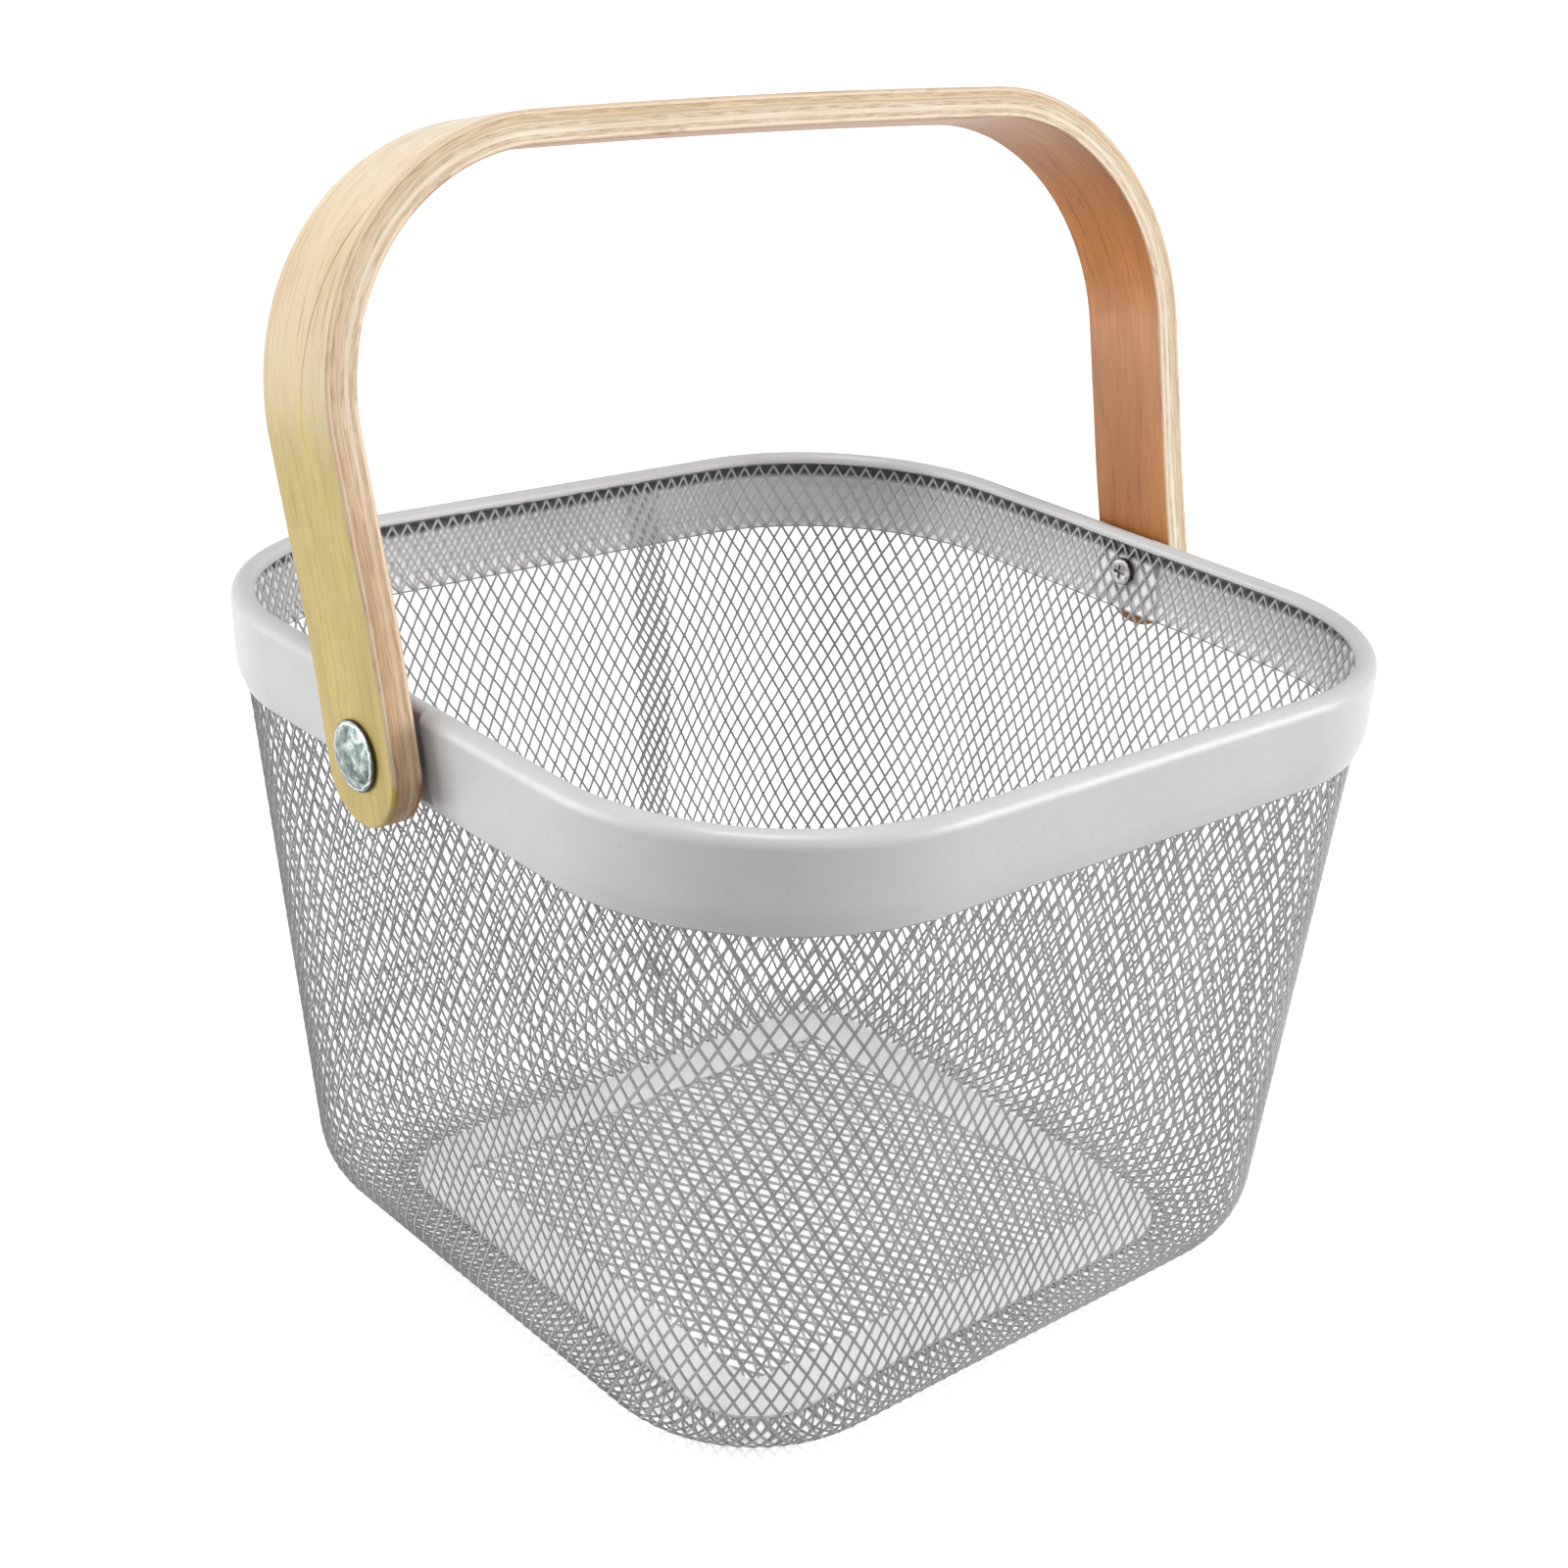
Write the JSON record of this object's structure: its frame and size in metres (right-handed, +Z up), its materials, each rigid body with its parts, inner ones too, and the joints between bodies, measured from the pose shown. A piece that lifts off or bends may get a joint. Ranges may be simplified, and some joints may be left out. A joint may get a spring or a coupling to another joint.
{
  "type": "wire produce basket",
  "caption": "Square tapered basket of expanded metal mesh with a pressed steel rim band, a flat steel base ring and a bent plywood handle that swings on side pivots.",
  "frame": {"origin": "under the centre of the basket, on the surface that it stands on", "axes": "+Z up, X along the handle's pivot axis, +Y the way the handle leans at rest"},
  "size_m": [0.2746, 0.2498, 0.3104],
  "materials": {
    "painted_sheet": "light grey powder coat, satin",
    "painted_mesh": "light grey powder coat on thin strands",
    "face_veneer": "clear lacquered face veneer",
    "long_veneer": "veneer edge with its grain along the strip",
    "cross_veneer": "veneer edge with its grain across the strip",
    "zinc": "zinc plated, dulled in patches",
    "dark_plastic": "moulded, matt"
  },
  "bodies": {
    "basket": {"rim_band": "painted_sheet", "wall_mesh": "painted_mesh", "bottom_mesh": "painted_mesh", "base_ring": "painted_sheet", "barrel_nut_right": "zinc", "barrel_nut_left": "zinc", "pivot_screw_right": "zinc", "pivot_screw_left": "zinc", "spacer_washer_right": "dark_plastic", "spacer_washer_left": "dark_plastic"},
    "handle": {"handle_ply_1": "face_veneer", "handle_ply_2": "cross_veneer", "handle_ply_3": "long_veneer", "handle_ply_4": "cross_veneer", "handle_ply_5": "long_veneer", "handle_ply_6": "cross_veneer", "handle_ply_7": "face_veneer"}
  },
  "joints": [
    {"name": "handle_swing", "type": "hinge", "parent": "basket", "child": "handle", "pos_m": [0, 0, 0.1708], "axis": [1, 0, 0], "range_deg": [-97, 123]}
  ]
}
